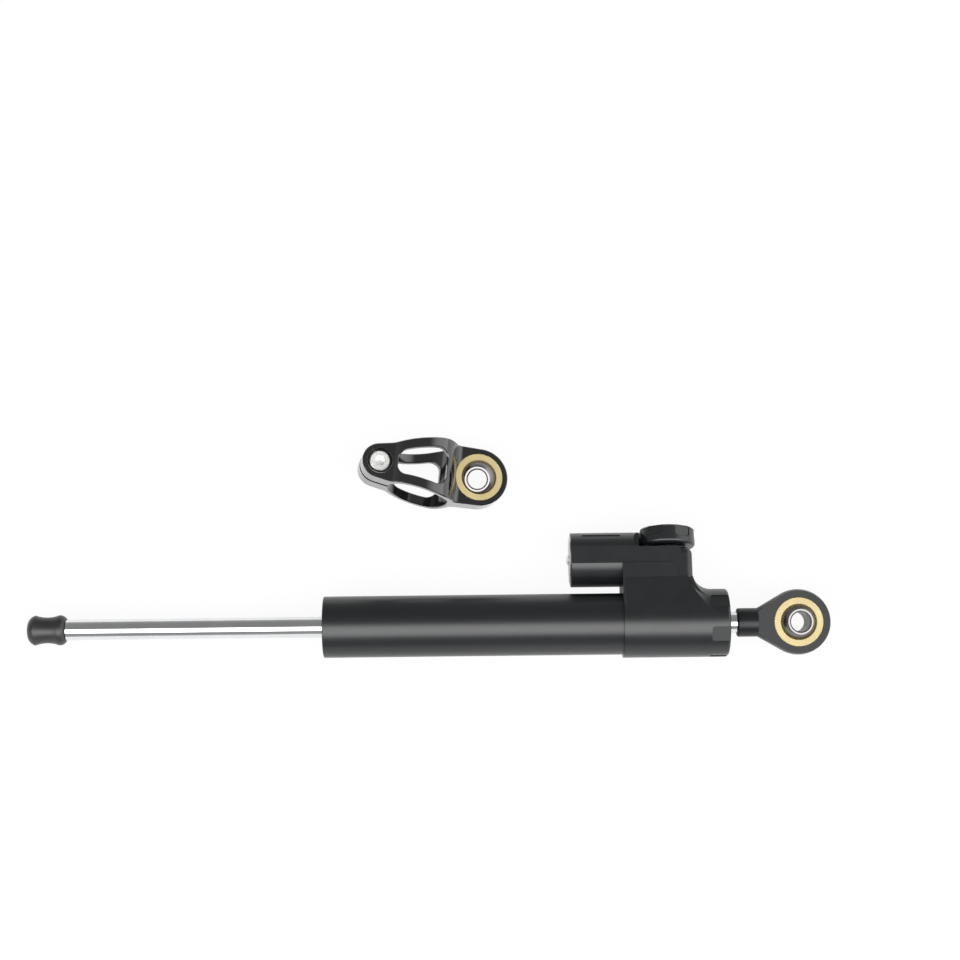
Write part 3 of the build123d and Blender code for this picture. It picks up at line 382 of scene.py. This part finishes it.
# Of each inner finish: its nodes, its colour, its roughness's two ends and how metallic it is
INNER_FINISHES = {
    "ground steel": (("inner_cylinder", "needle_valve", "adjuster_spindle", "knob_screw"),
                     (0.55, 0.54, 0.52), (0.20, 0.32), 1.0),
    "phosphated spring steel": (("end_clip", "head_clip", "piston_clips", "detent_spring"),
                                (0.20, 0.20, 0.20), (0.32, 0.46), 1.0),
    "bare aluminium": (("end_gland", "floating_piston", "piston"),
                       (0.66, 0.66, 0.65), (0.24, 0.36), 1.0),
    "sintered bronze": (("end_bush", "head_bush"), (0.52, 0.34, 0.18), (0.36, 0.50), 1.0),
    "turned brass seat": (("valve_seat",), (0.80, 0.62, 0.28), (0.22, 0.34), 1.0),
    "bearing steel": (("detent_ball",), (0.68, 0.67, 0.66), (0.08, 0.15), 1.0),
    "filled plastic": (("piston_ring",), (0.055, 0.045, 0.035), (0.45, 0.60), 0.0),
    "seal rubber": (("end_gland_o_ring", "end_rod_seal", "tube_o_ring", "head_rod_seal",
                     "plug_o_ring", "floating_piston_o_ring", "housing_o_ring", "spindle_o_ring"),
                    (0.014, 0.014, 0.015), (0.42, 0.55), 0.0),
}


class DAMPER_OT_inner_pieces(bpy.types.Operator):
    """Finishes the pieces inside the damper"""
    bl_idname = "damper.inner_pieces"
    bl_label = "Inner Pieces"

    def execute(self, context):
        for name, (nodes, tone, rough, metallic) in INNER_FINISHES.items():
            material = finish(name, tone, shade(tone, 0.85), roughness=rough, grain=0.0002,
                              metallic=metallic, bump=0.15)
            for node in nodes:
                wear(node, material)
        return {"FINISHED"}


# Rubber pieces, turned about the rod from a profile

# Radius of the circle that carries the profile round the rod
PATH_RADIUS = 1 * MM
# Faces that meet at more than this angle, in radians, keep a sharp edge between them
CREASE_ANGLE = 0.28
# Points on each rounded corner, and how near points are welded into one, in metres
CORNER_POINTS = 4
WELD_DISTANCE = 1e-7

# The end stop along the rod, back from its face towards the tube
FACE_BEND_BACK = 1.0 * MM
NEAR_RIDGE_BACK = 2.8 * MM
FAR_RIDGE_BACK = 12.5 * MM
# The blind hole that takes the rod's stub
HOLE_RADIUS = 3.04 * MM
HOLE_DEPTH = 10.54 * MM
# How far the bends of the face and of the dome have come between the radii or places they join
FACE_BEND_RISE = 0.72
DOME_BEND_FALL = 0.40
DOME_BEND_ALONG = 0.68
# Points on the arcs of the face, the waist and the dome
FACE_POINTS, WAIST_POINTS, DOME_POINTS = 10, 28, 14

# The wipers' bore, lip and lip's foot, out from the rod's surface
WIPER_PLAY = 0.05 * MM
LIP_OUT = 1.42 * MM
LIP_FOOT_OUT = 1.78 * MM


def turned_rubber_tree():
    """Geometry Nodes: turns the profile round the rod, rounding its corners on the way."""
    tree = bpy.data.node_groups.new("Turned Rubber", "GeometryNodeTree")
    face = tree.interface
    face.new_socket("Geometry", in_out="INPUT", socket_type="NodeSocketGeometry")
    for label, kind, default in (
        ("Path Radius", "NodeSocketFloat", PATH_RADIUS),
        ("Rounding", "NodeSocketFloat", 0.0),
        ("Crease Angle", "NodeSocketFloat", CREASE_ANGLE),
        ("Steps Round", "NodeSocketInt", 96),
        ("Material", "NodeSocketMaterial", None),
    ):
        socket = face.new_socket(label, in_out="INPUT", socket_type=kind)
        if default is not None:
            socket.default_value = default
    face.new_socket("Geometry", in_out="OUTPUT", socket_type="NodeSocketGeometry")
    given = put(tree, "NodeGroupInput").outputs
    profile = put(tree, "GeometryNodeMeshToCurve", {"Mesh": given["Geometry"]}).outputs["Curve"]
    rounded = put(tree, "GeometryNodeFilletCurve",
                  {"Curve": profile, "Count": CORNER_POINTS, "Radius": given["Rounding"],
                   "Limit Radius": True}, mode="POLY").outputs["Curve"]
    sharp = put(tree, "FunctionNodeCompare", {0: given["Rounding"], 1: 0.0}, operation="LESS_EQUAL")
    chosen = put(tree, "GeometryNodeSwitch",
                 {"Switch": sharp.outputs[0], "False": rounded, "True": profile},
                 input_type="GEOMETRY").outputs["Output"]
    ring = put(tree, "GeometryNodeCurvePrimitiveCircle",
               {"Resolution": given["Steps Round"], "Radius": given["Path Radius"]}).outputs["Curve"]
    turned = put(tree, "GeometryNodeCurveToMesh",
                 {"Curve": ring, "Profile Curve": chosen}).outputs["Mesh"]
    laid = put(tree, "GeometryNodeTransform",
               {"Geometry": turned, "Rotation": (0, math.pi / 2, 0)}).outputs["Geometry"]
    closed = put(tree, "GeometryNodeMergeByDistance",
                 {"Geometry": laid, "Distance": WELD_DISTANCE}).outputs["Geometry"]
    smooth = put(tree, "GeometryNodeSetShadeSmooth", {"Geometry": closed}).outputs["Geometry"]
    angle = put(tree, "GeometryNodeInputMeshEdgeAngle").outputs["Unsigned Angle"]
    crease = put(tree, "FunctionNodeCompare", {0: angle, 1: given["Crease Angle"]},
                 operation="GREATER_THAN").outputs[0]
    creased = put(tree, "GeometryNodeSetShadeSmooth",
                  {"Geometry": smooth, "Selection": crease, "Shade Smooth": False}, domain="EDGE")
    real = put(tree, "GeometryNodeRealizeInstances",
               {"Geometry": creased.outputs["Geometry"]}).outputs["Geometry"]
    dressed = put(tree, "GeometryNodeSetMaterial",
                  {"Geometry": real, "Material": given["Material"]})
    out = put(tree, "NodeGroupOutput")
    tree.links.new(dressed.outputs["Geometry"], out.inputs["Geometry"])
    return tree


def arc(first, middle, last, count):
    """Points of the circle's arc through three points, without its first point."""
    (ax, ay), (bx, by), (cx, cy) = first, middle, last
    twice = 2 * (ax * (by - cy) + bx * (cy - ay) + cx * (ay - by))
    a, b, c = ax * ax + ay * ay, bx * bx + by * by, cx * cx + cy * cy
    ox = (a * (by - cy) + b * (cy - ay) + c * (ay - by)) / twice
    oy = (a * (cx - bx) + b * (ax - cx) + c * (bx - ax)) / twice
    start = math.atan2(ay - oy, ax - ox)
    end = math.atan2(cy - oy, cx - ox)
    span = (end - start + math.pi) % math.tau - math.pi
    radius = math.hypot(ax - ox, ay - oy)
    return [(ox + radius * math.cos(start + span * k / count),
             oy + radius * math.sin(start + span * k / count)) for k in range(1, count + 1)]


def settle(piece):
    """Turns an object's modifiers into its own plain mesh."""
    graph = bpy.context.evaluated_depsgraph_get()
    mesh = bpy.data.meshes.new_from_object(piece.evaluated_get(graph))
    piece.modifiers.clear()
    piece.data = mesh
    return piece


def turned_piece(name, points, closed, rounding, material):
    """A rubber piece from its profile: (place along the rod, radius), in turning order."""
    tree = turned_rubber_tree()
    mesh = bpy.data.meshes.new(name)
    edges = [(k, k + 1) for k in range(len(points) - 1)]
    if closed:
        edges.append((len(points) - 1, 0))
    mesh.from_pydata([(radius - PATH_RADIUS, -along, 0) for along, radius in points], edges, [])
    piece = bpy.data.objects.new(name, mesh)
    bpy.context.scene.collection.objects.link(piece)
    modifier = piece.modifiers.new("Turned", "NODES")
    modifier.node_group = tree
    sockets = {item.name: item.identifier for item in tree.interface.items_tree
               if item.in_out == "INPUT"}
    values = {"Path Radius": PATH_RADIUS, "Rounding": rounding, "Material": material,
              "Steps Round": bpy.context.scene.damper_rubber.steps_round}
    for label, value in values.items():
        modifier[sockets[label]] = value
    return settle(piece)


def rubber(name, lift=1.5, roughness=(0.34, 0.44)):
    tone = tuple(bpy.context.scene.damper_finish.rubber_tone)
    return finish(name, tone, shade(tone, lift), roughness, grain=0.0003, bump=0.25, depth=0.00001)


class DAMPER_OT_end_stop(bpy.types.Operator):
    """Makes the rubber end stop on the rod's far end"""
    bl_idname = "damper.end_stop"
    bl_label = "End Stop"

    def execute(self, context):
        sizes = context.scene.damper_rubber
        low, high = corners("end_stop")
        ridge, tip = sizes.ridge_radius, sizes.tip_radius
        near = high.x - NEAR_RIDGE_BACK
        far = high.x - FAR_RIDGE_BACK
        face_bend = (high.x - FACE_BEND_BACK,
                     sizes.face_radius + FACE_BEND_RISE * (ridge - sizes.face_radius))
        waist = ((near + far) / 2, sizes.waist_radius)
        dome_bend = (far - DOME_BEND_ALONG * (far - low.x), ridge - DOME_BEND_FALL * (ridge - tip))
        hole_floor = high.x - HOLE_DEPTH
        points = [(hole_floor, 0), (hole_floor, HOLE_RADIUS), (high.x, HOLE_RADIUS),
                  (high.x, sizes.face_radius)]
        points += arc(points[-1], face_bend, (near, ridge), FACE_POINTS)
        points += arc(points[-1], waist, (far, ridge), WAIST_POINTS)
        points += arc(points[-1], dome_bend, (low.x, tip), DOME_POINTS)
        points.append((low.x, 0))
        piece = turned_piece("rubber_end_stop", points, False, 0.0, rubber("moulded rubber"))
        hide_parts("end_stop")
        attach(piece, "rod")
        return {"FINISHED"}


class DAMPER_OT_wipers(bpy.types.Operator):
    """Makes the two rubber wipers that the rod slides through"""
    bl_idname = "damper.wipers"
    bl_label = "Wipers"

    def execute(self, context):
        sizes = context.scene.damper_rubber
        material = rubber("wiper rubber", 1.3, (0.40, 0.50))
        rod_radius = corners("piston_rod")[1].y
        bore = rod_radius + WIPER_PLAY
        for node, out in (("head_wiper", 1), ("end_wiper", -1)):
            low, high = corners(node)
            back, front = (low.x, high.x) if out > 0 else (high.x, low.x)
            step = front - out * sizes.wiper_step
            points = [(back, bore), (front, bore), (front, rod_radius + LIP_OUT),
                      (step, rod_radius + LIP_FOOT_OUT), (step, high.y), (back, high.y)]
            if out < 0:
                points.reverse()
            piece = turned_piece("rubber_" + node, points, True, sizes.rounding, material)
            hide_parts(node)
            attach(piece, "damper_body")
        return {"FINISHED"}


# Stage

# The camera's angle above the bench, its roll, its place, its sensor in millimetres and its reach
CAMERA_HEIGHT = math.radians(75)
CAMERA_ROLL = math.radians(0.66)
CAMERA_PLACE = Vector((-129.494, -150.40, 791.707)) * MM
SENSOR_WIDTH = 36
CAMERA_REACH = 100
# Upward part of a direction from which the room's light is that of overhead
ROOM_HIGH = 0.6
# Sideways part of a direction at which the panel ends, and up to which it is full
PANEL_END, PANEL_FULL = 0.92, 0.65
# The same part at which the light past the rod end begins, and from which it is full
SIDE_BEGIN, SIDE_FULL = 0.42, 0.85
# The floor's two tones, and how broad their mottling is in metres
FLOOR_TONES = ((0.62, 0.62, 0.62), (0.64, 0.64, 0.64))
FLOOR_MOTTLE = 0.4


def place_matrix(right, up, back, position):
    """World matrix of a camera from its own three directions and its place."""
    return Matrix((
        (right.x, up.x, back.x, position.x),
        (right.y, up.y, back.y, position.y),
        (right.z, up.z, back.z, position.z),
        (0, 0, 0, 1),
    ))


class DAMPER_OT_camera(bpy.types.Operator):
    """Sets the camera over the bench, 75 degrees up from the damper's near side"""
    bl_idname = "damper.camera"
    bl_label = "Camera"

    def execute(self, context):
        view = Vector((0, math.cos(CAMERA_HEIGHT), -math.sin(CAMERA_HEIGHT)))
        level_up = Vector((0, math.sin(CAMERA_HEIGHT), math.cos(CAMERA_HEIGHT)))
        level_right = Vector((1, 0, 0))
        right = math.cos(CAMERA_ROLL) * level_right - math.sin(CAMERA_ROLL) * level_up
        up = math.sin(CAMERA_ROLL) * level_right + math.cos(CAMERA_ROLL) * level_up
        data = bpy.data.cameras.new("camera")
        data.lens = context.scene.damper_stage.lens
        data.sensor_width = SENSOR_WIDTH
        data.clip_end = CAMERA_REACH
        camera = bpy.data.objects.new("camera", data)
        context.scene.collection.objects.link(camera)
        camera.matrix_world = place_matrix(right, up, -view, CAMERA_PLACE)
        context.scene.camera = camera
        return {"FINISHED"}


class DAMPER_OT_lights(bpy.types.Operator):
    """Sets the studio's light: a long soft panel, a low light past the rod end, an even room"""
    bl_idname = "damper.lights"
    bl_label = "Lights"

    def execute(self, context):
        stage = context.scene.damper_stage
        world = bpy.data.worlds.new("studio")
        world.use_nodes = True
        tree = world.node_tree
        background = tree.nodes["Background"]
        direction = put(tree, "ShaderNodeTexCoord").outputs["Generated"]
        parts = put(tree, "ShaderNodeSeparateXYZ", {"Vector": direction}).outputs
        room = ramp(tree, parts["Z"], 0.0, ROOM_HIGH, stage.sky_low, stage.sky_high)
        flat = put(tree, "ShaderNodeCombineXYZ", {"Y": parts["Y"], "Z": parts["Z"]}).outputs[0]
        across = put(tree, "ShaderNodeVectorMath", {0: flat}, operation="NORMALIZE").outputs[0]
        middle = (0, -math.cos(stage.panel_rise), math.sin(stage.panel_rise))
        facing = put(tree, "ShaderNodeVectorMath", {0: across, 1: middle}, operation="DOT_PRODUCT")
        panel = ramp(tree, facing.outputs["Value"], math.cos(stage.panel_half),
                     math.cos(stage.panel_core), 0.0, stage.panel_light, "SMOOTHSTEP")
        side = put(tree, "ShaderNodeMath", {0: parts["X"]}, operation="ABSOLUTE").outputs[0]
        ends = ramp(tree, side, PANEL_END, PANEL_FULL, 0.0, 1.0, "SMOOTHSTEP")
        panel = math_node(tree, "MULTIPLY", panel, ends)
        past = ramp(tree, parts["X"], SIDE_BEGIN, SIDE_FULL, 0.0, stage.side_light, "SMOOTHSTEP")
        strength = math_node(tree, "ADD", math_node(tree, "ADD", room, panel), past)
        seen = put(tree, "ShaderNodeLightPath").outputs["Is Camera Ray"]
        whole = put(tree, "ShaderNodeMix", {"Factor": seen, 2: strength, 3: 1.0}, data_type="FLOAT")
        tree.links.new(whole.outputs[0], background.inputs["Strength"])
        background.inputs["Color"].default_value = (1, 1, 1, 1)
        context.scene.world = world
        return {"FINISHED"}


class DAMPER_OT_stage(bpy.types.Operator):
    """Makes the white floor that the damper lies on"""
    bl_idname = "damper.stage"
    bl_label = "Stage"

    def execute(self, context):
        stage = context.scene.damper_stage
        level = min(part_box("head_body")[0].z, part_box("clamp_collar")[0].z)
        half = stage.floor_size / 2
        mesh = bpy.data.meshes.new("floor")
        mesh.from_pydata([(-half, -half, level), (half, -half, level), (half, half, level),
                          (-half, half, level)], [], [(0, 1, 2, 3)])
        floor = bpy.data.objects.new("floor", mesh)
        context.scene.collection.objects.link(floor)
        material = bpy.data.materials.new("white floor")
        material.use_nodes = True
        tree = material.node_tree
        tree.nodes.remove(tree.nodes["Principled BSDF"])
        coords = put(tree, "ShaderNodeTexCoord").outputs["Object"]
        tone = blend_colours(tree, noise(tree, coords, FLOOR_MOTTLE), *FLOOR_TONES)
        paper = put(tree, "ShaderNodeBsdfDiffuse", {"Color": tone}).outputs[0]
        glow = put(tree, "ShaderNodeEmission", {"Strength": 1.0}).outputs[0]
        path = put(tree, "ShaderNodeLightPath").outputs
        seen = math_node(tree, "MULTIPLY", path["Is Camera Ray"], stage.floor_white)
        mirrored = math_node(tree, "MAXIMUM", path["Is Glossy Ray"], path["Is Transmission Ray"])
        mirrored = math_node(tree, "MULTIPLY", mirrored, stage.floor_mirrored)
        share = math_node(tree, "ADD", seen, mirrored)
        mixed = put(tree, "ShaderNodeMixShader", {0: share, 1: paper, 2: glow}).outputs[0]
        tree.links.new(mixed, tree.nodes["Material Output"].inputs["Surface"])
        mesh.materials.append(material)
        return {"FINISHED"}


STEPS = (
    DAMPER_OT_camera,
    DAMPER_OT_lights,
    DAMPER_OT_stage,
    DAMPER_OT_black_pieces,
    DAMPER_OT_clamp,
    DAMPER_OT_rod,
    DAMPER_OT_bearings,
    DAMPER_OT_plug,
    DAMPER_OT_inner_pieces,
    DAMPER_OT_end_stop,
    DAMPER_OT_wipers,
)
GROUPS = (
    ("damper_finish", DamperFinishSettings),
    ("damper_rubber", DamperRubberSettings),
    ("damper_stage", DamperStageSettings),
)


class DAMPER_PT_panel(bpy.types.Panel):
    """Lists the damper's settings and the steps that make it"""
    bl_idname = "DAMPER_PT_panel"
    bl_label = "Steering Damper"
    bl_space_type = "VIEW_3D"
    bl_region_type = "UI"
    bl_category = "Damper"

    def draw(self, context):
        layout = self.layout
        for name, group in GROUPS:
            box = layout.box()
            for setting in group.__annotations__:
                box.prop(getattr(context.scene, name), setting)
        for step in STEPS:
            layout.operator(step.bl_idname)


def register():
    for name, group in GROUPS:
        bpy.utils.register_class(group)
        setattr(bpy.types.Scene, name, PointerProperty(type=group))
    for step in STEPS:
        bpy.utils.register_class(step)
    bpy.utils.register_class(DAMPER_PT_panel)


def unregister():
    bpy.utils.unregister_class(DAMPER_PT_panel)
    for step in reversed(STEPS):
        bpy.utils.unregister_class(step)
    for name, group in reversed(GROUPS):
        delattr(bpy.types.Scene, name)
        bpy.utils.unregister_class(group)


def main():
    register()
    bpy.context.scene.view_settings.view_transform = "Standard"
    for step in STEPS:
        group, name = step.bl_idname.split(".")
        getattr(getattr(bpy.ops, group), name)()


if __name__ == "__main__":
    main()
